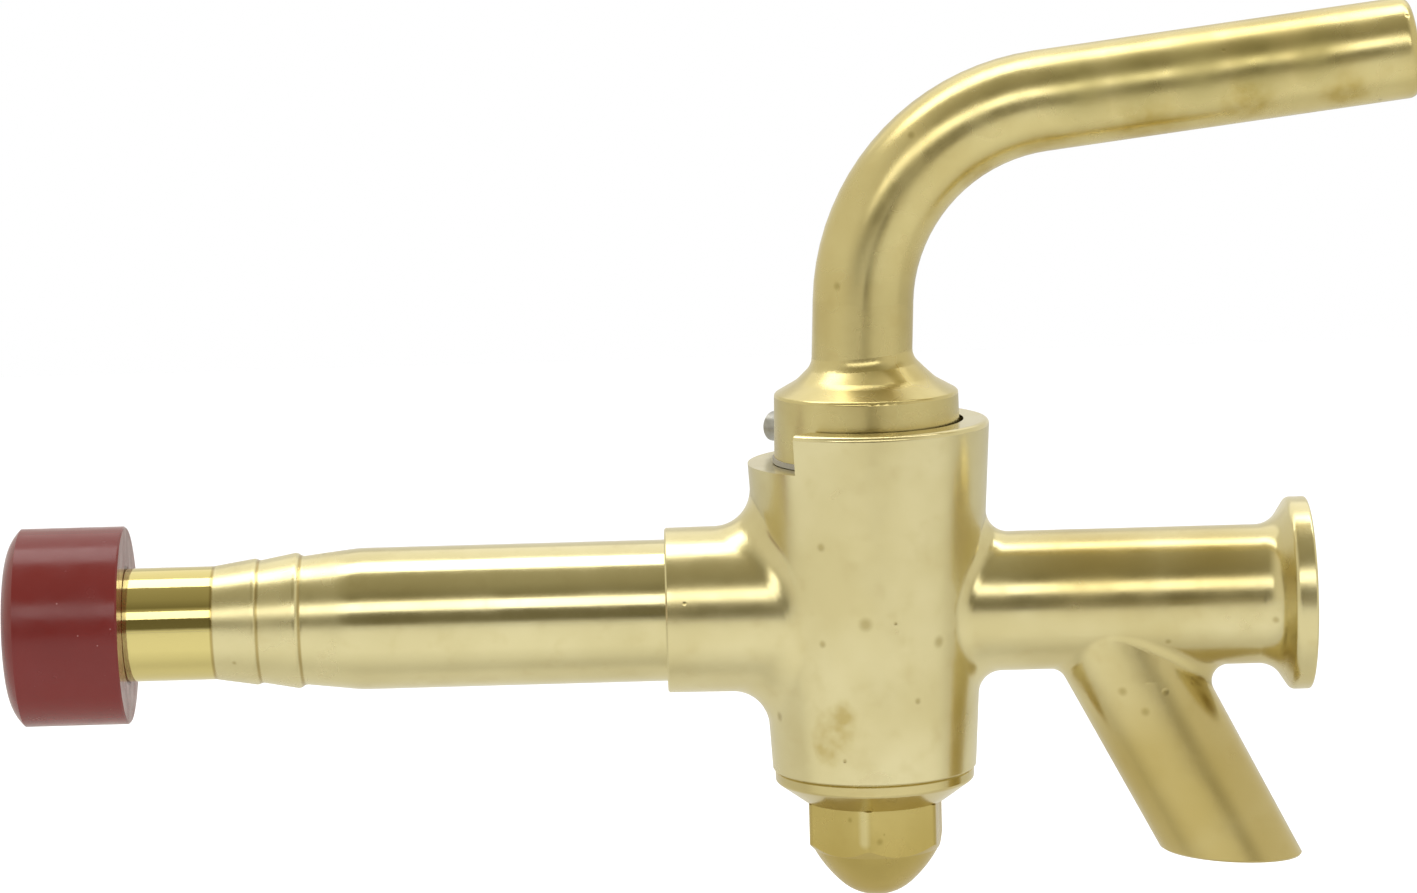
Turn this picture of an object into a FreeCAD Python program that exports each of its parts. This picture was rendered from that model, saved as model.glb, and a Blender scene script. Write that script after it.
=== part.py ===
import FreeCAD, Part
import math
import os

os.makedirs("parts", exist_ok=True)

# A brass keg tap of the knock-in kind, with a tapered plug that the handle turns.
# Millimetres. The origin is on the flow axis, where the inlet tube meets the face of the body's socket.
# +X runs with the flow to the striking flange, +Z runs up the plug's axis, and -Y is the side shown.

# Barrel of the body, which holds the plug
plug_x = 35.3
rim_z = 32.1
rim_radius = 21.0
rim_round = 0.9
foot_z = -28.35
foot_radius = 17.6
foot_chamfer = 0.3
ledge_z = 25.2
rim_bore_radius = 16.6

# Tapered seat in the barrel, and the running gap of the ground plug in it
seat_top_radius = 14.2
seat_foot_radius = 10.9
plug_gap = 0.04

# Inlet socket
socket_mouth_radius = 14.2
socket_root_radius = 14.55
socket_chamfer = 0.3
socket_depth = 13.5
socket_fillet = 6.5

# Outlet arm, with the flange that the mallet strikes
arm_radius = 12.0
arm_fillet = 4.0
strike_reach = 75.3
flange_radius = 16.6
flange_rim = 3.4
flare_length = 3.0
flare_round = 4.5
flange_back_round = 1.3
flange_face_round = 0.5

# Spout, measured from the plug's axis
spout_x = 38.3
spout_lean = 27.5
spout_root_radius = 10.9
spout_end_radius = 10.55
spout_end_z = -45.0
spout_cut_tilt = 3.8
spout_bore_radius = 8.4
spout_bore_depth = 18.0
spout_fillet = 3.0
spout_chamfer = 0.4

# Where the spout's part of the casting ends, below the arm's underside
spout_part_drop = 1.0

# Flow passages
flow_radius = 7.5
port_radius = 6.5
drill_point_angle = 118.0
drill_past_spout = 4.0

# Inlet tube: main length, two barbs and a slim tip
tube_radius = 12.2
tube_main_length = 52.7
tail_radius = 11.4
tail_length = 12.0
thread_gap = 0.05
swell_radius = 11.05
swell_length = 9.7
swell_round = 22.0
barb_step_length = 0.8
barb_round = 1.1
rear_barb_radius = 11.75
rear_barb_length = 6.5
rear_barb_foot_radius = 10.55
front_barb_radius = 10.9
front_barb_length = 7.1
tip_radius = 9.78
tip_length = 29.1
tip_chamfer = 0.6

# Flat gasket between the tube's tail and the bottom of the socket
gasket_wall = 3.2

# Cap on the tube's tip
cap_radius = 17.05
cap_length = 20.3
cap_grip = 14.9
cap_gap = 0.06
cap_end_round = 8.0
cap_end_depth = 2.5
cap_rim_chamfer = 0.3
cap_mouth_chamfer = 0.5
cap_floor_gap = 1.0

# Hub and round-rod handle
hub_lift = 0.95
hub_foot_radius = 16.0
hub_shoulder_radius = 15.8
hub_shoulder_z = 37.05
hub_round = 0.8
hub_waist_radius = 12.0
hub_waist_z = 39.2
hub_waist_round = 5.0
hub_cone_top_z = 42.5
rod_radius = 8.62
rod_root_round = 3.0
rod_root_offset = -0.6
rod_lean = 2.5
bend_z = 52.8
bend_radius = 35.0
arm_rise = 6.7
handle_reach = 94.4
handle_end_round = 2.0

# Stop pin in the hub, and the quarter turn that the notch allows
pin_radius = 2.6
pin_tip = 22.3
pin_depth = 7.0
pin_z = 29.4
pin_gap = 0.01
pin_tip_chamfer = 0.4
handle_turn = 88.0
stop_gap = 0.1

# Grey ring under the hub
ring_radius = 16.3
ring_gap = 0.05
ring_floor_gap = 0.1

# Small end of the plug: shank with two flats, then the threaded stud
plug_foot_lift = 1.0
shank_radius = 7.2
shank_flat = 6.2
stud_radius = 6.0
stud_length = 11.5

# Dished washer, with a hole for the shank
washer_gap = 0.05
washer_radius = 17.2
washer_edge = 1.9
washer_height = 5.4
washer_land_radius = 12.4
washer_round = 0.7
washer_chamfer = 0.3
shank_gap = 0.1

# Domed hexagon nut
nut_across_flats = 22.0
nut_hex_height = 8.65
nut_turn = -7.8
nut_corner_round = 1.6
nut_top_chamfer_radius = 12.2
nut_top_chamfer_angle = 30.0
nut_foot_chamfer_radius = 10.95
nut_foot_chamfer_angle = 45.0
dome_foot_radius = 10.9
dome_tip_round = 9.2
dome_side_round = 22.0
dome_turn = 42.0
nut_bore_depth = 12.5

UP = FreeCAD.Vector(0, 0, 1)
FLOW = FreeCAD.Vector(1, 0, 0)
ACROSS = FreeCAD.Vector(0, 1, 0)
ORIGIN = FreeCAD.Vector(0, 0, 0)
PLUG_AXIS = FreeCAD.Vector(plug_x, 0, 0)


def outline(corners, place):
    """Closed wire through corners (radius, station, rounding); a rounding of 0 leaves the corner sharp."""
    points = [place(corner[0], corner[1]) for corner in corners]
    rounds = [corner[2] if len(corner) > 2 else 0 for corner in corners]
    starts = []
    ends = []
    arcs = []
    for index, corner in enumerate(points):
        back = (points[index - 1] - corner).normalize()
        ahead = (points[(index + 1) % len(points)] - corner).normalize()
        if rounds[index] == 0:
            starts.append(corner)
            ends.append(corner)
            arcs.append(None)
            continue
        half = back.getAngle(ahead) / 2
        reach = rounds[index] / math.tan(half)
        inward = (back + ahead).normalize()
        middle = corner + inward * (rounds[index] / math.sin(half) - rounds[index])
        starts.append(corner + back * reach)
        ends.append(corner + ahead * reach)
        arcs.append(Part.Arc(starts[-1], middle, ends[-1]).toShape())
    edges = []
    for index, arc in enumerate(arcs):
        if arc is not None:
            edges.append(arc)
        following = starts[(index + 1) % len(starts)]
        if (following - ends[index]).Length > 1e-6:
            edges.append(Part.LineSegment(ends[index], following).toShape())
    return Part.Wire(edges)


def turned_upright(corners):
    """Solid turned about the plug's axis; stations are heights."""
    wire = outline(corners, lambda radius, height: FreeCAD.Vector(plug_x + radius, 0, height))
    return Part.Face(wire).revolve(PLUG_AXIS, UP, 360)


def turned_along(corners):
    """Solid turned about the flow axis; stations are places along X."""
    wire = outline(corners, lambda radius, station: FreeCAD.Vector(station, 0, radius))
    return Part.Face(wire).revolve(ORIGIN, FLOW, 360)


def seam_edges(solid, direction, low, high):
    """Edges where two round forms meet, between two places along a direction."""
    found = []
    for edge in solid.Edges:
        if edge.Curve.TypeId in ("Part::GeomLine", "Part::GeomCircle"):
            continue
        if low < edge.CenterOfMass.dot(direction) < high:
            found.append(edge)
    return found


def circles_at(solid, centre):
    """Circular edges with their centre at one point."""
    found = []
    for edge in solid.Edges:
        if edge.Curve.TypeId == "Part::GeomCircle" and (edge.Curve.Center - centre).Length < 0.01:
            found.append(edge)
    return found


def save(shape, name):
    solids = shape.Solids
    if len(solids) != 1 or not shape.isValid():
        raise ValueError(name + " is not one valid solid")
    solids[0].exportStep("parts/" + name + ".step")
    print(name, round(solids[0].Volume), len(solids[0].Faces))


spout_direction = FreeCAD.Vector(
    math.sin(math.radians(spout_lean)), 0, -math.cos(math.radians(spout_lean)))
spout_root = FreeCAD.Vector(plug_x + spout_x, 0, 0)
spout_length = -spout_end_z / math.cos(math.radians(spout_lean))


def barrel():
    return turned_upright([
        (0, foot_z),
        (foot_radius - foot_chamfer, foot_z),
        (foot_radius, foot_z + foot_chamfer),
        (rim_radius, rim_z, rim_round),
        (0, rim_z)])


def socket():
    return turned_along([
        (0, 0),
        (socket_mouth_radius - socket_chamfer, 0),
        (socket_mouth_radius, socket_chamfer),
        (socket_root_radius, plug_x),
        (0, plug_x)])


def striking_arm():
    face = plug_x + strike_reach
    rim_back = face - flange_rim
    return turned_along([
        (0, plug_x),
        (arm_radius, plug_x),
        (arm_radius, rim_back - flare_length, flare_round),
        (flange_radius, rim_back, flange_back_round),
        (flange_radius, face, flange_face_round),
        (0, face)])


def spout():
    spare = 4 * spout_root_radius
    slope = (spout_root_radius - spout_end_radius) / spout_length
    form = Part.makeCone(
        spout_root_radius, spout_end_radius - slope * spare, spout_length + spare,
        spout_root, spout_direction)
    side = 8 * spout_root_radius
    below = Part.makeBox(side, side, side, FreeCAD.Vector(-side / 2, -side / 2, -side))
    below.rotate(ORIGIN, ACROSS, spout_cut_tilt)
    below.translate(spout_root + spout_direction * spout_length)
    cut = form.cut(below)
    end_edges = [edge for edge in cut.Edges if edge.Curve.TypeId == "Part::GeomEllipse"]
    return cut.makeChamfer(spout_chamfer, end_edges)


def notch():
    """Space that the stop pin sweeps through the barrel's rim, from the ledge up."""
    height = 2 * (rim_z - ledge_z)
    reach = 2 * rim_radius
    half_width = pin_radius + stop_gap
    low = FreeCAD.Vector(plug_x, 0, ledge_z)
    sector = Part.makeCylinder(reach, height, low, UP, handle_turn)
    sector.rotate(PLUG_AXIS, UP, 180 - handle_turn / 2)
    space = sector
    for angle in (180 - handle_turn / 2, 180 + handle_turn / 2):
        lane = Part.makeBox(reach, 2 * half_width, height, FreeCAD.Vector(plug_x, -half_width, ledge_z))
        lane.rotate(PLUG_AXIS, UP, angle)
        space = space.fuse(lane)
    return space


def plug_seat():
    return turned_upright([
        (0, foot_z),
        (seat_foot_radius, foot_z),
        (seat_top_radius, ledge_z),
        (rim_bore_radius, ledge_z),
        (rim_bore_radius, rim_z),
        (0, rim_z)])


def inlet_passage():
    return turned_along([
        (0, 0),
        (tail_radius + thread_gap, 0),
        (tail_radius + thread_gap, socket_depth),
        (flow_radius, socket_depth),
        (flow_radius, plug_x),
        (0, plug_x)])


def outlet_passage():
    drill_end = plug_x + spout_x + drill_past_spout
    point = flow_radius / math.tan(math.radians(drill_point_angle / 2))
    return turned_along([
        (0, plug_x),
        (flow_radius, plug_x),
        (flow_radius, drill_end),
        (0, drill_end + point)])


def spout_passage():
    """Cast passage down the spout, with a wider mouth reamed from its end."""
    past_end = 2 * spout_bore_radius
    passage = Part.makeCylinder(flow_radius, spout_length + past_end, spout_root, spout_direction)
    mouth_start = spout_root + spout_direction * (spout_length - spout_bore_depth)
    mouth = Part.makeCylinder(
        spout_bore_radius, spout_bore_depth + past_end, mouth_start, spout_direction)
    return passage.fuse(mouth)


def body_casting():
    casting = barrel().fuse([socket(), striking_arm(), spout()]).removeSplitter()
    arm_root_x = plug_x + rim_radius
    spout_middle_x = spout_root.x + spout_direction.x * spout_length / 2
    casting = casting.makeFillet(socket_fillet, seam_edges(casting, FLOW, 0, plug_x))
    casting = casting.makeFillet(arm_fillet, seam_edges(casting, FLOW, plug_x, arm_root_x))
    casting = casting.makeFillet(
        spout_fillet, seam_edges(casting, FLOW, arm_root_x, spout_middle_x))
    casting = casting.cut(
        [plug_seat(), notch(), inlet_passage(), outlet_passage(), spout_passage()])
    return casting.removeSplitter()


def part_of_casting(casting, low_x, high_x, low_z, high_z):
    """What the casting has between two planes along the flow and two planes of height."""
    width = 4 * rim_radius
    low = FreeCAD.Vector(low_x, -width / 2, low_z)
    return casting.common(Part.makeBox(high_x - low_x, width, high_z - low_z, low))


def inlet_tube():
    main_end = -tube_main_length
    swell_end = main_end - swell_length
    rear_barb = swell_end - barb_step_length
    rear_foot = rear_barb - rear_barb_length
    front_barb = rear_foot - barb_step_length
    front_foot = front_barb - front_barb_length
    tip_end = front_foot - tip_length
    outside = turned_along([
        (0, tip_end),
        (tip_radius - tip_chamfer, tip_end),
        (tip_radius, tip_end + tip_chamfer),
        (tip_radius, front_foot),
        (front_barb_radius, front_barb, barb_round),
        (rear_barb_foot_radius, rear_foot, barb_round),
        (rear_barb_radius, rear_barb, barb_round),
        (swell_radius, swell_end, barb_round),
        (tube_radius, main_end, swell_round),
        (tube_radius, 0),
        (tail_radius, 0),
        (tail_radius, tail_length),
        (0, tail_length)])
    bore = Part.makeCylinder(flow_radius, tail_length - tip_end, FreeCAD.Vector(tip_end, 0, 0), FLOW)
    return outside.cut(bore), tip_end


def inlet_gasket():
    outer = tail_radius
    return turned_along([
        (outer - gasket_wall, tail_length),
        (outer, tail_length),
        (outer, socket_depth),
        (outer - gasket_wall, socket_depth)])


def tip_cap(tip_end):
    floor = tip_end - cap_floor_gap
    mouth = floor + cap_grip
    closed_end = mouth - cap_length
    bore_radius = tip_radius + cap_gap
    flat_radius = cap_radius - math.sqrt(cap_end_round ** 2 - (cap_end_round - cap_end_depth) ** 2)
    half_turn = math.acos(1 - cap_end_depth / cap_end_round) / 2

    def place(radius, station):
        return FreeCAD.Vector(station, 0, radius)

    start = place(flat_radius, closed_end)
    middle = place(
        flat_radius + cap_end_round * math.sin(half_turn),
        closed_end + cap_end_round * (1 - math.cos(half_turn)))
    straight = [
        place(cap_radius, closed_end + cap_end_depth),
        place(cap_radius, mouth - cap_rim_chamfer),
        place(cap_radius - cap_rim_chamfer, mouth),
        place(bore_radius + cap_mouth_chamfer, mouth),
        place(bore_radius, mouth - cap_mouth_chamfer),
        place(bore_radius, floor),
        place(0, floor),
        place(0, closed_end),
        start]
    edges = [Part.Arc(start, middle, straight[0]).toShape()]
    for low, high in zip(straight, straight[1:]):
        edges.append(Part.LineSegment(low, high).toShape())
    return Part.Face(Part.Wire(edges)).revolve(ORIGIN, FLOW, 360)


def plug_radius(height):
    """Radius of the ground plug at one height: the seat's, less the running gap."""
    share = (height - foot_z) / (ledge_z - foot_z)
    return seat_foot_radius + share * (seat_top_radius - seat_foot_radius) - plug_gap


neck_radius = plug_radius(ledge_z)
hub_foot_z = ledge_z + hub_lift
plug_foot_z = foot_z + plug_foot_lift
washer_top_z = foot_z - washer_gap
washer_foot_z = washer_top_z - washer_height
stud_end_z = washer_foot_z - stud_length


def handle_rod():
    """Round rod: upright length, bend, and the arm that rises a little to its end."""
    lean = math.radians(rod_lean)
    rise = math.radians(arm_rise)
    upward = FreeCAD.Vector(math.sin(lean), 0, math.cos(lean))
    root = FreeCAD.Vector(plug_x + rod_root_offset, 0, hub_cone_top_z)
    sunk = (hub_cone_top_z - hub_shoulder_z) / math.cos(lean)
    length = (bend_z - hub_cone_top_z) / math.cos(lean)
    upright = Part.makeCylinder(rod_radius, sunk + length, root - upward * sunk, upward)
    bend_start = root + upward * length
    section = Part.Face(Part.Wire(Part.makeCircle(rod_radius, bend_start, upward)))
    bend_centre = bend_start + FreeCAD.Vector(math.cos(lean), 0, -math.sin(lean)) * bend_radius
    bend = section.revolve(bend_centre, ACROSS, 90 - arm_rise - rod_lean)
    arm_start = bend_centre + FreeCAD.Vector(-math.sin(rise), 0, math.cos(rise)) * bend_radius
    arm_direction = FreeCAD.Vector(math.cos(rise), 0, math.sin(rise))
    arm_length = (plug_x + handle_reach - arm_start.x) / math.cos(rise)
    arm = Part.makeCylinder(rod_radius, arm_length, arm_start, arm_direction)
    arm = arm.makeFillet(handle_end_round, circles_at(arm, arm_start + arm_direction * arm_length))
    return upright.fuse([bend, arm])


def stop_pin_form(radius, inner, outer):
    """Cylinder on the stop pin's line, between two distances from the plug's axis."""
    angle = 180 - handle_turn / 2
    form = Part.makeCylinder(radius, outer - inner, FreeCAD.Vector(plug_x + inner, 0, pin_z), FLOW)
    form.rotate(PLUG_AXIS, UP, angle)
    return form


def stop_pin():
    inner = hub_foot_radius - pin_depth
    pin = stop_pin_form(pin_radius, inner, pin_tip)
    angle = math.radians(180 - handle_turn / 2)
    tip = FreeCAD.Vector(plug_x + pin_tip * math.cos(angle), pin_tip * math.sin(angle), pin_z)
    return pin.makeChamfer(pin_tip_chamfer, circles_at(pin, tip))


def plug_handle():
    cone_slope = (hub_cone_top_z - hub_waist_z) / (hub_waist_radius - rod_radius)
    cone_end_radius = rod_radius / 2
    cone_end_z = hub_cone_top_z + cone_slope * (rod_radius - cone_end_radius)
    turned = turned_upright([
        (0, stud_end_z),
        (stud_radius, stud_end_z),
        (stud_radius, washer_foot_z),
        (shank_radius, washer_foot_z),
        (shank_radius, plug_foot_z),
        (plug_radius(plug_foot_z), plug_foot_z),
        (neck_radius, ledge_z),
        (neck_radius, hub_foot_z),
        (hub_foot_radius, hub_foot_z),
        (hub_shoulder_radius, hub_shoulder_z, hub_round),
        (hub_waist_radius, hub_waist_z, hub_waist_round),
        (cone_end_radius, cone_end_z),
        (0, cone_end_z)])
    casting = turned.fuse(handle_rod()).removeSplitter()
    casting = casting.makeFillet(
        rod_root_round, seam_edges(casting, UP, hub_shoulder_z, bend_z))
    height = plug_foot_z - washer_foot_z
    side = 2 * shank_radius
    cuts = []
    for low_y in (shank_flat, -shank_flat - side):
        low = FreeCAD.Vector(plug_x - side / 2, low_y, washer_foot_z)
        cuts.append(Part.makeBox(side, side, height, low))
    port_length = 4 * hub_foot_radius
    port_start = FreeCAD.Vector(plug_x - port_length / 2, 0, 0)
    cuts.append(Part.makeCylinder(port_radius, port_length, port_start, FLOW))
    cuts.append(stop_pin_form(pin_radius + pin_gap, hub_foot_radius - pin_depth, 2 * hub_foot_radius))
    return casting.cut(cuts).removeSplitter()


def seal_ring():
    inner = neck_radius + ring_gap
    return turned_upright([
        (inner, ledge_z + ring_floor_gap),
        (ring_radius, ledge_z + ring_floor_gap),
        (ring_radius, hub_foot_z),
        (inner, hub_foot_z)])


def thrust_washer():
    washer = turned_upright([
        (0, washer_foot_z),
        (washer_land_radius, washer_foot_z),
        (washer_radius, washer_top_z - washer_edge, washer_round),
        (washer_radius, washer_top_z - washer_chamfer),
        (washer_radius - washer_chamfer, washer_top_z),
        (0, washer_top_z)])
    side = 2 * (shank_radius + shank_gap)
    hole = Part.makeCylinder(side / 2, washer_height, FreeCAD.Vector(plug_x, 0, washer_foot_z), UP)
    width = 2 * (shank_flat + shank_gap)
    low = FreeCAD.Vector(plug_x - side / 2, -width / 2, washer_foot_z)
    return washer.cut(hole.common(Part.makeBox(side, width, washer_height, low)))


def dome():
    """Dome of the nut: a tight arc at the tip runs into a slack arc at the side."""
    turn = math.radians(dome_turn)
    join_radius = dome_tip_round * math.sin(turn)
    join_rise = dome_tip_round * (1 - math.cos(turn))
    centre_radius = join_radius - dome_side_round * math.sin(turn)
    centre_rise = join_rise + dome_side_round * math.cos(turn)
    foot_turn = math.asin((dome_foot_radius - centre_radius) / dome_side_round)
    half_turn = (turn + foot_turn) / 2
    height = centre_rise - dome_side_round * math.cos(foot_turn)
    tip_z = washer_foot_z - nut_hex_height - height

    def place(radius, rise):
        return FreeCAD.Vector(plug_x + radius, 0, tip_z + rise)

    tip = place(0, 0)
    tip_middle = place(
        dome_tip_round * math.sin(turn / 2), dome_tip_round * (1 - math.cos(turn / 2)))
    join = place(join_radius, join_rise)
    side_middle = place(
        centre_radius + dome_side_round * math.sin(half_turn),
        centre_rise - dome_side_round * math.cos(half_turn))
    foot = place(dome_foot_radius, height)
    centre = place(0, height)
    edges = [
        Part.Arc(tip, tip_middle, join).toShape(),
        Part.Arc(join, side_middle, foot).toShape(),
        Part.LineSegment(foot, centre).toShape(),
        Part.LineSegment(centre, tip).toShape()]
    return Part.Face(Part.Wire(edges)).revolve(PLUG_AXIS, UP, 360)


def dome_nut():
    corner = nut_across_flats / math.sqrt(3)
    hex_foot_z = washer_foot_z - nut_hex_height
    points = []
    for index in range(7):
        angle = math.radians(60 * index - 90 + nut_turn)
        points.append(FreeCAD.Vector(
            plug_x + corner * math.cos(angle), corner * math.sin(angle), hex_foot_z))
    prism = Part.Face(Part.makePolygon(points)).extrude(UP * nut_hex_height)
    upright = [edge for edge in prism.Edges if abs(edge.Length - nut_hex_height) < 1e-6
               and abs(edge.Vertexes[0].Z - edge.Vertexes[1].Z) > 1e-3]
    prism = prism.makeFillet(nut_corner_round, upright)
    foot_rise = (corner - nut_foot_chamfer_radius) * math.tan(math.radians(nut_foot_chamfer_angle))
    top_drop = (corner - nut_top_chamfer_radius) * math.tan(math.radians(nut_top_chamfer_angle))
    envelope = turned_upright([
        (0, hex_foot_z),
        (nut_foot_chamfer_radius, hex_foot_z),
        (corner, hex_foot_z + foot_rise),
        (corner, washer_foot_z - top_drop),
        (nut_top_chamfer_radius, washer_foot_z),
        (0, washer_foot_z)])
    nut = prism.common(envelope).fuse(dome()).removeSplitter()
    low = FreeCAD.Vector(plug_x, 0, washer_foot_z - nut_bore_depth)
    return nut.cut(Part.makeCylinder(stud_radius + thread_gap, nut_bore_depth, low, UP))


# The body is one casting, saved as four parts that meet face to face
casting = body_casting()
socket_end = plug_x - rim_radius
arm_start = plug_x + rim_radius
arm_end = plug_x + strike_reach
spout_part_z = -arm_radius - spout_part_drop
casting_foot = spout_end_z - spout_root_radius
outlet_end = arm_end + spout_root_radius
outlet = part_of_casting(casting, arm_start, outlet_end, casting_foot, rim_z)
below_arm = part_of_casting(casting, arm_start, outlet_end, casting_foot, spout_part_z)
spout_part = max(below_arm.Solids, key=lambda solid: solid.Volume)
save(part_of_casting(casting, socket_end, arm_start, casting_foot, rim_z), "tap_body")
save(part_of_casting(casting, 0, socket_end, casting_foot, rim_z), "inlet_socket")
save(outlet.cut(spout_part), "outlet_arm")
save(spout_part, "outlet_spout")
tube, tube_tip_end = inlet_tube()
save(tube, "inlet_tube")
save(inlet_gasket(), "inlet_gasket")
save(plug_handle(), "plug_handle")
save(stop_pin(), "stop_pin")
save(seal_ring(), "seal_ring")
save(thrust_washer(), "thrust_washer")
save(dome_nut(), "dome_nut")
save(tip_cap(tube_tip_end), "tip_cap")
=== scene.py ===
import math
import bpy
from mathutils import Matrix, Vector

# Brass keg tap, seen from the side shown in the photograph. Metres, in the part's frame: the origin
# is where the inlet tube meets the socket, +X runs to the striking flange and +Z up the plug's axis.
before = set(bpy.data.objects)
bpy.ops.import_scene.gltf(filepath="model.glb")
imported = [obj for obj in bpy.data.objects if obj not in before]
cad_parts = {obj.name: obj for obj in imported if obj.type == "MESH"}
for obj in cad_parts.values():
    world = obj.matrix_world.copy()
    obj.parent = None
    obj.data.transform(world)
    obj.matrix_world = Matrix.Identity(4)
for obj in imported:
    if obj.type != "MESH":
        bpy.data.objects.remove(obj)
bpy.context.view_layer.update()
scene = bpy.context.scene
scene.view_settings.view_transform = "Standard"


# Camera
# A long lens about 0.86 m away, looking down a little. The values come from laying the part's
# outline over the photograph's; the anchor is the middle of the plug's axis.
IMAGE_SIZE = (1417, 893)
FOCAL_PIXELS = 4997.4
ANCHOR = Vector((0.0353, 0, 0))
ANCHOR_PIXEL = (870.9, 604.3)
CAMERA_DISTANCE = 0.8615
PITCH_DOWN = math.radians(8.27)
YAW = math.radians(0.09)
ROLL = math.radians(1.59)
SENSOR_WIDTH = 36.0

forward = Vector((
    math.sin(YAW) * math.cos(PITCH_DOWN), math.cos(YAW) * math.cos(PITCH_DOWN), -math.sin(PITCH_DOWN)))
level_right = Vector((math.cos(YAW), -math.sin(YAW), 0))
level_up = level_right.cross(forward)
right = level_right * math.cos(ROLL) - level_up * math.sin(ROLL)
up = level_up * math.cos(ROLL) + level_right * math.sin(ROLL)
metres_a_pixel = CAMERA_DISTANCE / FOCAL_PIXELS
camera_data = bpy.data.cameras.new("camera")
camera_data.lens = FOCAL_PIXELS / IMAGE_SIZE[0] * SENSOR_WIDTH
camera_data.sensor_width = SENSOR_WIDTH
camera = bpy.data.objects.new("camera", camera_data)
camera.location = (
    ANCHOR - forward * CAMERA_DISTANCE
    - right * (ANCHOR_PIXEL[0] - IMAGE_SIZE[0] / 2) * metres_a_pixel
    - up * (IMAGE_SIZE[1] / 2 - ANCHOR_PIXEL[1]) * metres_a_pixel)
camera.rotation_euler = Matrix((right, up, -forward)).transposed().to_euler()
scene.collection.objects.link(camera)
scene.camera = camera


# Room
# A bright studio tent: pale all round, darker between the two strip lights and round the camera.
# The brass mirrors it, so these bands give its round parts their stripes. All else sees plain white.
def colour(code):
    """Linear RGBA from an sRGB hex code."""
    channels = [int(code[place:place + 2], 16) / 255 for place in (1, 3, 5)]
    linear = [c / 12.92 if c <= 0.04045 else ((c + 0.055) / 1.055) ** 2.4 for c in channels]
    return (*linear, 1.0)


def add_node(tree, kind, *values, output=None, **settings):
    """Adds a node with its settings, and returns its named output, or the first one in use.

    The values go on its inputs in order. A socket is linked, and None leaves an input as it is."""
    node = tree.nodes.new(kind)
    for name, value in settings.items():
        setattr(node, name, value)
    for socket, value in zip([s for s in node.inputs if s.enabled], values):
        if isinstance(value, bpy.types.NodeSocket):
            tree.links.new(value, socket)
        elif value is not None:
            socket.default_value = value
    if output:
        return node.outputs[output]
    return next((s for s in node.outputs if s.enabled), None)


# Angle round the part's length: 0 is level towards the camera, 90 overhead, 180 level behind
ROOM_BANDS = [(-180, "#F2F0EA"), (-5, "#F2F0EA"), (1, "#7A745C"), (20, "#736C54"), (36, "#CEC7AC"),
              (43, "#857E62"), (60, "#A39C80"), (84, "#B2AB90"), (118, "#E4E0D4"), (180, "#F2F0EA")]
# The bands fade into the tent's ends to the left and right, between these shares of the direction
ROOM_SIDES = "#F0ECDE"
SIDES_START = 0.35
SIDES_FULL = 0.80
world = bpy.data.worlds.new("studio tent")
scene.world = world
world.use_nodes = True
tree = world.node_tree
tree.nodes.clear()
direction = add_node(tree, "ShaderNodeTexCoord", output="Generated")
across, away, rise = add_node(tree, "ShaderNodeSeparateXYZ", direction).node.outputs
nearing = add_node(tree, "ShaderNodeMath", away, -1.0, operation="MULTIPLY")
angle = add_node(tree, "ShaderNodeMath", rise, nearing, operation="ARCTAN2")
share = add_node(tree, "ShaderNodeMapRange", angle, -math.pi, math.pi)
bands = add_node(tree, "ShaderNodeValToRGB", share)
stops = bands.node.color_ramp.elements
while len(stops) < len(ROOM_BANDS):
    stops.new(0.5)
for stop, (degrees, code) in zip(stops, ROOM_BANDS):
    stop.position = (degrees + 180) / 360
    stop.color = colour(code)
sideways = add_node(tree, "ShaderNodeMath", across, operation="ABSOLUTE")
sides = add_node(tree, "ShaderNodeMapRange", sideways, SIDES_START, SIDES_FULL)
room = add_node(tree, "ShaderNodeMix", sides, bands, colour(ROOM_SIDES), data_type="RGBA")
tent = add_node(tree, "ShaderNodeBackground", room, 1.0)
white = add_node(tree, "ShaderNodeBackground", colour("#FFFFFF"), 1.0)
mirrored = add_node(tree, "ShaderNodeLightPath", output="Is Glossy Ray")
add_node(tree, "ShaderNodeOutputWorld", add_node(tree, "ShaderNodeMixShader", mirrored, white, tent))


# Lights
# Two long strip lights above the tap, one almost overhead and one above the camera, give the two
# white lines along every round part. A wide dim one behind them lights the top edges. Each has its
# angle as in the room's bands, then distance, width, length and brightness.
STRIPS = [("overhead strip", 102, 0.9, 0.38, 1.5, 3.1), ("front strip", 28, 1.3, 0.34, 1.7, 2.3),
          ("back strip", 132, 1.1, 0.66, 1.6, 0.42)]
for name, degrees, distance, width, length, brightness in STRIPS:
    light = bpy.data.lights.new(name, "AREA")
    light.shape = "RECTANGLE"
    light.size = length
    light.size_y = width
    light.energy = brightness * math.pi * width * length
    strip = bpy.data.objects.new(name, light)
    lift = math.radians(degrees)
    place = Vector((0, -math.cos(lift), math.sin(lift)))
    strip.location = place * distance
    strip.rotation_euler = place.to_track_quat("Z", "Y").to_euler()
    scene.collection.objects.link(strip)


# Tent opening
# The gap in the tent's front that the camera looks through: a narrow black cloth, and a wide grey one
# right of it. The handle's upright mirrors them as a dark line, and they deepen the band on both arms.
# They show in reflections only, so other views keep the plain white room.
def new_material(name):
    """A material, its node tree and its shader."""
    material = bpy.data.materials.new(name)
    material.use_nodes = True
    return material, material.node_tree, material.node_tree.nodes["Principled BSDF"]


def add_sheet(name, corners, material):
    """A flat sheet of the studio, through four corners."""
    mesh = bpy.data.meshes.new(name)
    mesh.from_pydata(corners, [], [(0, 1, 2, 3)])
    mesh.materials.append(material)
    sheet = bpy.data.objects.new(name, mesh)
    scene.collection.objects.link(sheet)
    return sheet


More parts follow.
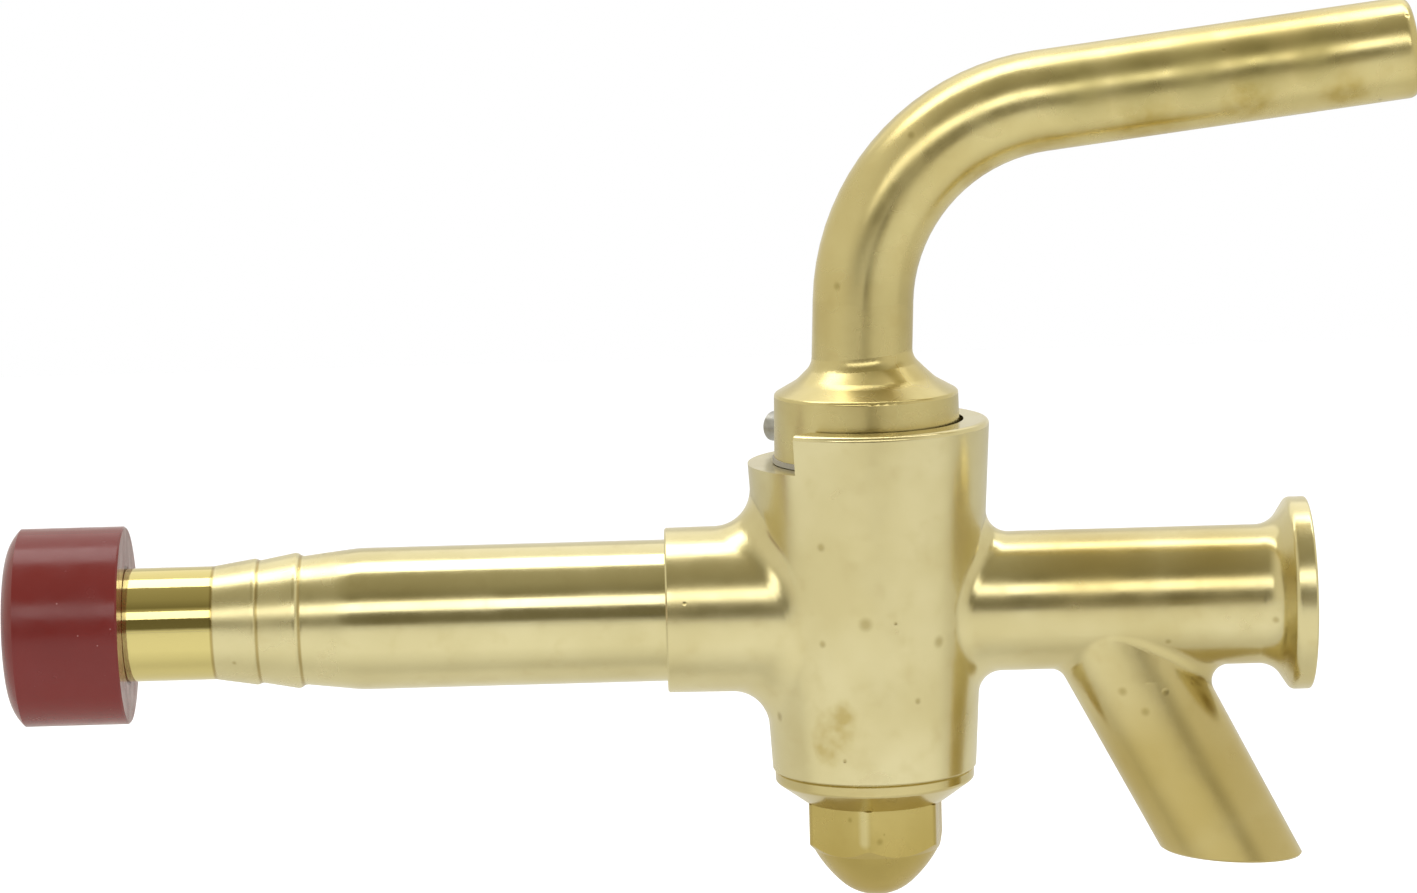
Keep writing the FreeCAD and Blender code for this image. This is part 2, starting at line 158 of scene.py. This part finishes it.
# Each has its left and right edge and its colour
CLOTHS = [("black cloth, matt", 0.0, 0.135, "#4A4436"), ("grey cloth, matt", 0.135, 0.30, "#8A8268")]
CLOTH_Y = -0.95
CLOTH_FOOT = -0.10
CLOTH_TOP = 0.06
for name, left_edge, right_edge, code in CLOTHS:
    material, tree, shader = new_material(name)
    shader.inputs["Base Color"].default_value = colour(code)
    shader.inputs["Roughness"].default_value = 0.95
    cloth = add_sheet(name, [
        (left_edge, CLOTH_Y, CLOTH_FOOT), (right_edge, CLOTH_Y, CLOTH_FOOT),
        (right_edge, CLOTH_Y, CLOTH_TOP), (left_edge, CLOTH_Y, CLOTH_TOP)], material)
    cloth.visible_camera = False
    cloth.visible_shadow = False


# Floor
# A wide white table, so far below the tap that its shadow falls outside the picture. It lights the
# underside. The brass mirrors it a little darker, with a painted shadow of the tap below and behind it.
FLOOR_Z = -0.16
FLOOR_HALF = 1.6
PAINTED_SHADOW_START = -0.16
PAINTED_SHADOW_FULL = -0.03
paper, tree, shader = new_material("white matt paper")
mirrored = add_node(tree, "ShaderNodeLightPath", output="Is Glossy Ray")
place = add_node(tree, "ShaderNodeTexCoord", output="Object")
depth = add_node(tree, "ShaderNodeSeparateXYZ", place, output="Y")
# Painted shadow of the tap, seen only in reflections: the paper darkens from in front of the tap to
# below and behind it
clear_of_painted_shadow = add_node(tree, "ShaderNodeMapRange", depth, PAINTED_SHADOW_START, PAINTED_SHADOW_FULL, 1.0, 0.0)
seen = add_node(tree, "ShaderNodeMix", clear_of_painted_shadow, colour("#C6C4BC"), colour("#DBDAD4"), data_type="RGBA")
shade = add_node(tree, "ShaderNodeMix", mirrored, colour("#FFFFFF"), seen, data_type="RGBA")
tree.links.new(shade, shader.inputs["Base Color"])
shader.inputs["Roughness"].default_value = 0.9
floor = add_sheet("floor", [
    (x * FLOOR_HALF, y * FLOOR_HALF, FLOOR_Z) for x, y in ((-1, -1), (1, -1), (1, 1), (-1, 1))], paper)


# tap_body
# One brass casting with barrel, inlet socket, outlet arm, striking flange and spout. Its outside is
# ground and polished by hand, so the mirror is a little wavy, with pits and a few dings.
MM = 0.001
SPOT_CORE = 0.3


def spots(tree, point, places):
    """1 in the core of round spots (x, y, z, radius in millimetres), falling to 0 at their edge."""
    total = 0.0
    for x, y, z, radius in places:
        centre = Vector((x, y, z)) * MM
        distance = add_node(tree, "ShaderNodeVectorMath", point, centre, operation="DISTANCE")
        spot = add_node(tree, "ShaderNodeMapRange", distance, radius * MM, SPOT_CORE * radius * MM)
        total = add_node(tree, "ShaderNodeMath", total, spot, operation="MAXIMUM")
    return total


def tint(tree, base, mask, code, share):
    """Lays a colour over the base where the mask is 1, at a share of its full strength."""
    strength = add_node(tree, "ShaderNodeMath", mask, share, operation="MULTIPLY")
    return add_node(tree, "ShaderNodeMix", strength, base, colour(code), data_type="RGBA")


# What any brass surface shows: sizes in millimetres, and each mark's colour with its strength
TONE_SIZE = 20
GLOSS_SIZE = 8
CLOUD_SIZE = 4
STAIN_GRAIN = 2.5
POLISH_SIZE = 1.2
POLISH_DEPTH = 0.004
CLOUD_TINT = ("#A88C44", 0.12)
TARNISH_AND_SHADE_TINT = ("#B09A50", 0.7)
PIT_TINT = ("#8F7E40", 0.45)
STAIN_TINT = ("#AE984C", 0.6)
WEAR_TINT = ("#9C9159", 0.6)
WEAR_ROUGHER = 1.35
GLOSS_SPREAD = (0.8, 1.25)


def brass(name, light, dark, roughness, waves, pits, dings=(), stains=(), tarnish_and_shade=(), worn=()):
    """Polished brass in two tones, with faint clouds.

    Polishing waves and pits are (size, depth) in millimetres. Dings, ragged stains, dull tarnished
    patches (on the nut, painted shade) and worn patches are spots."""
    material, tree, shader = new_material(name)
    point = add_node(tree, "ShaderNodeTexCoord", output="Object")
    patches = add_node(tree, "ShaderNodeTexNoise", point, 1 / (TONE_SIZE * MM), 3.0)
    tone = add_node(tree, "ShaderNodeMapRange", patches, 0.35, 0.65)
    base = add_node(tree, "ShaderNodeMix", tone, colour(light), colour(dark), data_type="RGBA")
    patches = add_node(tree, "ShaderNodeTexNoise", point, 1 / (CLOUD_SIZE * MM), 4.0)
    base = tint(tree, base, add_node(tree, "ShaderNodeMapRange", patches, 0.55, 0.75), *CLOUD_TINT)
    # Dull tarnished spots; on the nut, painted shade towards its bottom
    base = tint(tree, base, spots(tree, point, tarnish_and_shade), *TARNISH_AND_SHADE_TINT)
    cells = add_node(tree, "ShaderNodeTexVoronoi", point, 1 / (pits[0] * MM))
    marks = add_node(tree, "ShaderNodeMapRange", cells, 0.045, 0.02)
    marks = add_node(tree, "ShaderNodeMath", marks, spots(tree, point, dings), operation="MAXIMUM")
    base = tint(tree, base, marks, *PIT_TINT)
    ragged = add_node(tree, "ShaderNodeTexNoise", point, 1 / (STAIN_GRAIN * MM), 3.0)
    ragged = add_node(tree, "ShaderNodeMath", spots(tree, point, stains), ragged, operation="MULTIPLY")
    base = tint(tree, base, add_node(tree, "ShaderNodeMapRange", ragged, 0.15, 0.6), *STAIN_TINT)
    patches = add_node(tree, "ShaderNodeTexNoise", point, 1 / (GLOSS_SIZE * MM), 3.0)
    gloss = add_node(tree, "ShaderNodeMapRange", patches, 0.3, 0.7, *[
        roughness * factor for factor in GLOSS_SPREAD])
    wear = spots(tree, point, worn)
    base = tint(tree, base, wear, *WEAR_TINT)
    rougher = add_node(tree, "ShaderNodeMapRange", wear, 0.0, 1.0, 1.0, WEAR_ROUGHER)
    gloss = add_node(tree, "ShaderNodeMath", gloss, rougher, operation="MULTIPLY")
    swell = add_node(tree, "ShaderNodeTexNoise", point, 1 / (waves[0] * MM), 1.0)
    skin = add_node(tree, "ShaderNodeBump", 1.0, waves[1] * MM, None, swell)
    grain = add_node(tree, "ShaderNodeTexNoise", point, 1 / (POLISH_SIZE * MM))
    skin = add_node(tree, "ShaderNodeBump", 1.0, POLISH_DEPTH * MM, None, grain, skin)
    skin = add_node(tree, "ShaderNodeBump", 1.0, pits[1] * MM, None, marks, skin, invert=True)
    tree.links.new(base, shader.inputs["Base Color"])
    tree.links.new(gloss, shader.inputs["Roughness"])
    tree.links.new(skin, shader.inputs["Normal"])
    shader.inputs["Metallic"].default_value = 1.0
    return material


def dress(name, material):
    """Puts a material on a CAD piece."""
    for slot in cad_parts[name].material_slots:
        slot.material = material


BODY_DINGS = [(26.5, -17.9, 13.2, 0.9), (26.4, -16.8, -3.6, 0.8), (33.7, -19.1, 0.0, 1.5),
              (46.2, -15.5, -4.0, 1.3), (19.0, -8.0, -17.6, 1.1), (42.3, -17.0, -13.8, 0.7),
              (77.6, -10.3, -14.5, 1.0), (81.4, -10.7, -18.0, 1.0), (84.9, -10.3, -14.8, 0.7),
              (85.5, -10.3, -6.1, 0.7), (103.7, -12.2, -2.5, 0.8)]
BODY_STAINS = [(27.8, -16.4, -19.4, 5.5), (29.5, -17.2, -16.0, 4.0), (26.6, -15.7, -22.5, 4.0)]
BODY_TARNISH = [(86.0, -4.0, -32.0, 34.0), (96.0, -4.0, -46.0, 24.0),
                (75.0, -14.0, 12.0, 18.0), (94.0, -14.0, 12.0, 18.0)]
cast_brass = brass(
    "cast brass, ground and hand polished", "#DDD3A6", "#D0C493", 0.22, waves=(14, 0.1),
    pits=(9, 0.04), dings=BODY_DINGS, stains=BODY_STAINS, tarnish_and_shade=BODY_TARNISH)
for part in ("tap_body", "inlet_socket", "outlet_arm", "outlet_spout"):
    dress(part, cast_brass)


# inlet_tube
# Drawn brass tube, turned on the outside with two sealing barbs and a slim tip, and screwed into the
# socket. The tip is a mirror, the barbs are satin from the lathe with painted shade in the creases at
# their steps, and the long part is buffed.
TIP_START = (-77.4, -77.8)
TIP_COLOUR = "#D7C986"
TIP_ROUGHER = 0.4
BARBS_START = (-53.5, -56.5)
BARBS_ROUGHER = 1.7
CREASE_SHADE_LINES = (-62.55, -69.85, -77.6)
CREASE_SHADE_TINT = ("#A08A4C", 0.7)
turned_brass = brass(
    "turned brass, mirror tip, satin barbs", "#DCD2A4", "#D2C797", 0.15, waves=(18, 0.02),
    pits=(12, 0.01))
tree = turned_brass.node_tree
shader = tree.nodes["Principled BSDF"]
base = shader.inputs["Base Color"].links[0].from_socket
gloss = shader.inputs["Roughness"].links[0].from_socket
point = add_node(tree, "ShaderNodeTexCoord", output="Object")
along = add_node(tree, "ShaderNodeSeparateXYZ", point, output="X")
tip = add_node(tree, "ShaderNodeMapRange", along, TIP_START[0] * MM, TIP_START[1] * MM)
barbs = add_node(tree, "ShaderNodeMapRange", along, BARBS_START[0] * MM, BARBS_START[1] * MM)
satin = add_node(tree, "ShaderNodeMath", barbs, tip, operation="SUBTRACT")
base = tint(tree, base, tip, TIP_COLOUR, 1.0)
# Painted shade: a thin darker line in the crease at the foot of each barb step and at the tip's edge
for crease in CREASE_SHADE_LINES:
    gap = add_node(tree, "ShaderNodeMath", along, crease * MM, operation="SUBTRACT")
    gap = add_node(tree, "ShaderNodeMath", gap, operation="ABSOLUTE")
    base = tint(tree, base, add_node(tree, "ShaderNodeMapRange", gap, 0.4 * MM, 0.1 * MM), *CREASE_SHADE_TINT)
for area, factor in ((tip, TIP_ROUGHER), (satin, BARBS_ROUGHER)):
    change = add_node(tree, "ShaderNodeMapRange", area, 0.0, 1.0, 1.0, factor)
    gloss = add_node(tree, "ShaderNodeMath", gloss, change, operation="MULTIPLY")
tree.links.new(base, shader.inputs["Base Color"])
tree.links.new(gloss, shader.inputs["Roughness"])
dress("inlet_tube", turned_brass)


# inlet_gasket
# Flat black rubber ring at the bottom of the socket, moulded, seen only down the open tube. The
# rubber is matt and slightly blotched, with a fine grain.
RUBBER_BLOTCH = 3
RUBBER_GRAIN = 0.6
RUBBER_DEPTH = 0.02


def soft_rubber(name, tone, wear, roughness):
    """Matt moulded rubber in two close tones."""
    material, tree, shader = new_material(name)
    point = add_node(tree, "ShaderNodeTexCoord", output="Object")
    blotches = add_node(tree, "ShaderNodeTexNoise", point, 1 / (RUBBER_BLOTCH * MM), 4.0)
    base = add_node(tree, "ShaderNodeMix", blotches, colour(tone), colour(wear), data_type="RGBA")
    grain = add_node(tree, "ShaderNodeTexNoise", point, 1 / (RUBBER_GRAIN * MM))
    skin = add_node(tree, "ShaderNodeBump", 1.0, RUBBER_DEPTH * MM, None, grain)
    tree.links.new(base, shader.inputs["Base Color"])
    tree.links.new(skin, shader.inputs["Normal"])
    shader.inputs["Roughness"].default_value = roughness
    return material


dress("inlet_gasket", soft_rubber("black rubber, moulded", "#1C1C1B", "#2B2A28", 0.6))


# plug_handle
# One brass casting: round-rod handle, hub and ground plug. The rod is bent and polished by hand, so
# its mirror is wavy, with mottled patches on the underside and worn ones on top, where hands hold it.
HANDLE_DINGS = [(30.6, -7.1, 56.1, 0.9), (43.8, -7.0, 81.4, 0.8), (28.5, -5.0, 66.0, 1.0)]
HANDLE_STAINS = [(84.2, -4.7, 80.9, 10.0), (100.9, -7.4, 85.7, 7.0), (67.4, -3.0, 77.8, 8.0),
                 (55.4, -3.4, 74.0, 6.0), (117.0, -6.0, 86.5, 6.0)]
HANDLE_TARNISH = [(134.0, 0.0, 92.0, 12.0)]
HANDLE_WORN = [(72.0, -8.3, 89.4, 8.0), (82.0, -8.3, 90.6, 8.0), (92.0, -8.3, 91.7, 8.5),
               (102.0, -8.3, 92.9, 8.0), (112.0, -8.3, 94.0, 7.0)]
handle_brass = brass(
    "cast brass handle, hand polished", "#D3C68F", "#C6B67C", 0.25, waves=(12, 0.09),
    pits=(10, 0.04), dings=HANDLE_DINGS, stains=HANDLE_STAINS, tarnish_and_shade=HANDLE_TARNISH,
    worn=HANDLE_WORN)
dress("plug_handle", handle_brass)


# stop_pin
# Short steel pin pressed into the hub, drawn and dull: two greys in small blotches, with faint
# scratches.
STEEL_BLOTCH = 1.2
SCRATCH_SIZE = 0.5
SCRATCH_DEPTH = 0.01
steel, tree, shader = new_material("drawn steel, dull")
point = add_node(tree, "ShaderNodeTexCoord", output="Object")
blotches = add_node(tree, "ShaderNodeTexNoise", point, 1 / (STEEL_BLOTCH * MM), 4.0)
base = add_node(tree, "ShaderNodeMix", blotches, colour("#BAB9B2"), colour("#918F88"), data_type="RGBA")
scratches = add_node(tree, "ShaderNodeTexNoise", point, 1 / (SCRATCH_SIZE * MM))
skin = add_node(tree, "ShaderNodeBump", 1.0, SCRATCH_DEPTH * MM, None, scratches)
tree.links.new(base, shader.inputs["Base Color"])
tree.links.new(skin, shader.inputs["Normal"])
shader.inputs["Metallic"].default_value = 1.0
shader.inputs["Roughness"].default_value = 0.35
dress("stop_pin", steel)


# seal_ring
# Grey rubber ring on the plug's neck, under the hub, moulded like the gasket. It shows as a thin line
# in the rim's notch.
dress("seal_ring", soft_rubber("grey rubber, moulded", "#A39F93", "#8B867A", 0.55))


# thrust_washer
# Dished brass washer under the barrel, turned from bar and polished, so it is smoother and brighter
# than the casting.
washer_brass = brass(
    "turned brass washer, polished", "#D0C28D", "#BFB078", 0.16, waves=(10, 0.02), pits=(8, 0.01))
dress("thrust_washer", washer_brass)


# dome_nut
# Hexagon cap nut, turned from brass bar. Its finish is duller than the rest: satin, with a few pits,
# painted shade darkening the dome towards its bottom, and a painted highlight down the front corner.
NUT_DINGS = [(35.5, -11.8, -39.2, 0.8), (30.5, -10.2, -35.6, 0.6)]
# Painted shade: the dome is darker towards its bottom, where it mirrors its own shadow
NUT_BOTTOM_SHADE = [(35.3, 0.0, -56.0, 24.0)]
# Painted highlight: a pale upright strip down the hexagon's front corner, where its rounded edge
# catches the light
NUT_CORNER_HIGHLIGHT = [(32.8, -12.0, -33.8 - 0.5 * step, 1.3) for step in range(12)]
PAINTED_HIGHLIGHT_TINT = ("#DAD09E", 0.55)
nut_brass = brass(
    "turned brass nut, satin", "#C6B472", "#B8A562", 0.28, waves=(6, 0.03), pits=(6, 0.02),
    dings=NUT_DINGS, tarnish_and_shade=NUT_BOTTOM_SHADE)
tree = nut_brass.node_tree
shader = tree.nodes["Principled BSDF"]
base = shader.inputs["Base Color"].links[0].from_socket
point = add_node(tree, "ShaderNodeTexCoord", output="Object")
# Lays the painted highlight on the nut's front corner
base = tint(tree, base, spots(tree, point, NUT_CORNER_HIGHLIGHT), *PAINTED_HIGHLIGHT_TINT)
tree.links.new(base, shader.inputs["Base Color"])
dress("dome_nut", nut_brass)


# tip_cap
# Dark red cap, moulded from hard plastic and pushed on the tube's tip. It is glossy, a little
# unevenly, with a few pale specks of dust.
RED_PATCH = 12
SPECK_SPACING = 3.5
SPECK_TINT = ("#C79A94", 0.4)
SHINE_PATCH = 4
SHINE_ROUGHNESS = (0.16, 0.28)
MOULD_GRAIN = 1.5
MOULD_DEPTH = 0.01
plastic, tree, shader = new_material("red plastic, moulded, glossy")
point = add_node(tree, "ShaderNodeTexCoord", output="Object")
patches = add_node(tree, "ShaderNodeTexNoise", point, 1 / (RED_PATCH * MM), 3.0)
base = add_node(tree, "ShaderNodeMix", patches, colour("#6B2320"), colour("#5F1E1B"), data_type="RGBA")
specks = add_node(tree, "ShaderNodeTexVoronoi", point, 1 / (SPECK_SPACING * MM))
specks = add_node(tree, "ShaderNodeMapRange", specks, 0.045, 0.025)
base = tint(tree, base, specks, *SPECK_TINT)
patches = add_node(tree, "ShaderNodeTexNoise", point, 1 / (SHINE_PATCH * MM), 4.0)
gloss = add_node(tree, "ShaderNodeMapRange", patches, 0.3, 0.7, *SHINE_ROUGHNESS)
grain = add_node(tree, "ShaderNodeTexNoise", point, 1 / (MOULD_GRAIN * MM), 3.0)
skin = add_node(tree, "ShaderNodeBump", 1.0, MOULD_DEPTH * MM, None, grain)
tree.links.new(base, shader.inputs["Base Color"])
tree.links.new(gloss, shader.inputs["Roughness"])
tree.links.new(skin, shader.inputs["Normal"])
shader.inputs["Specular IOR Level"].default_value = 0.34
dress("tip_cap", plastic)
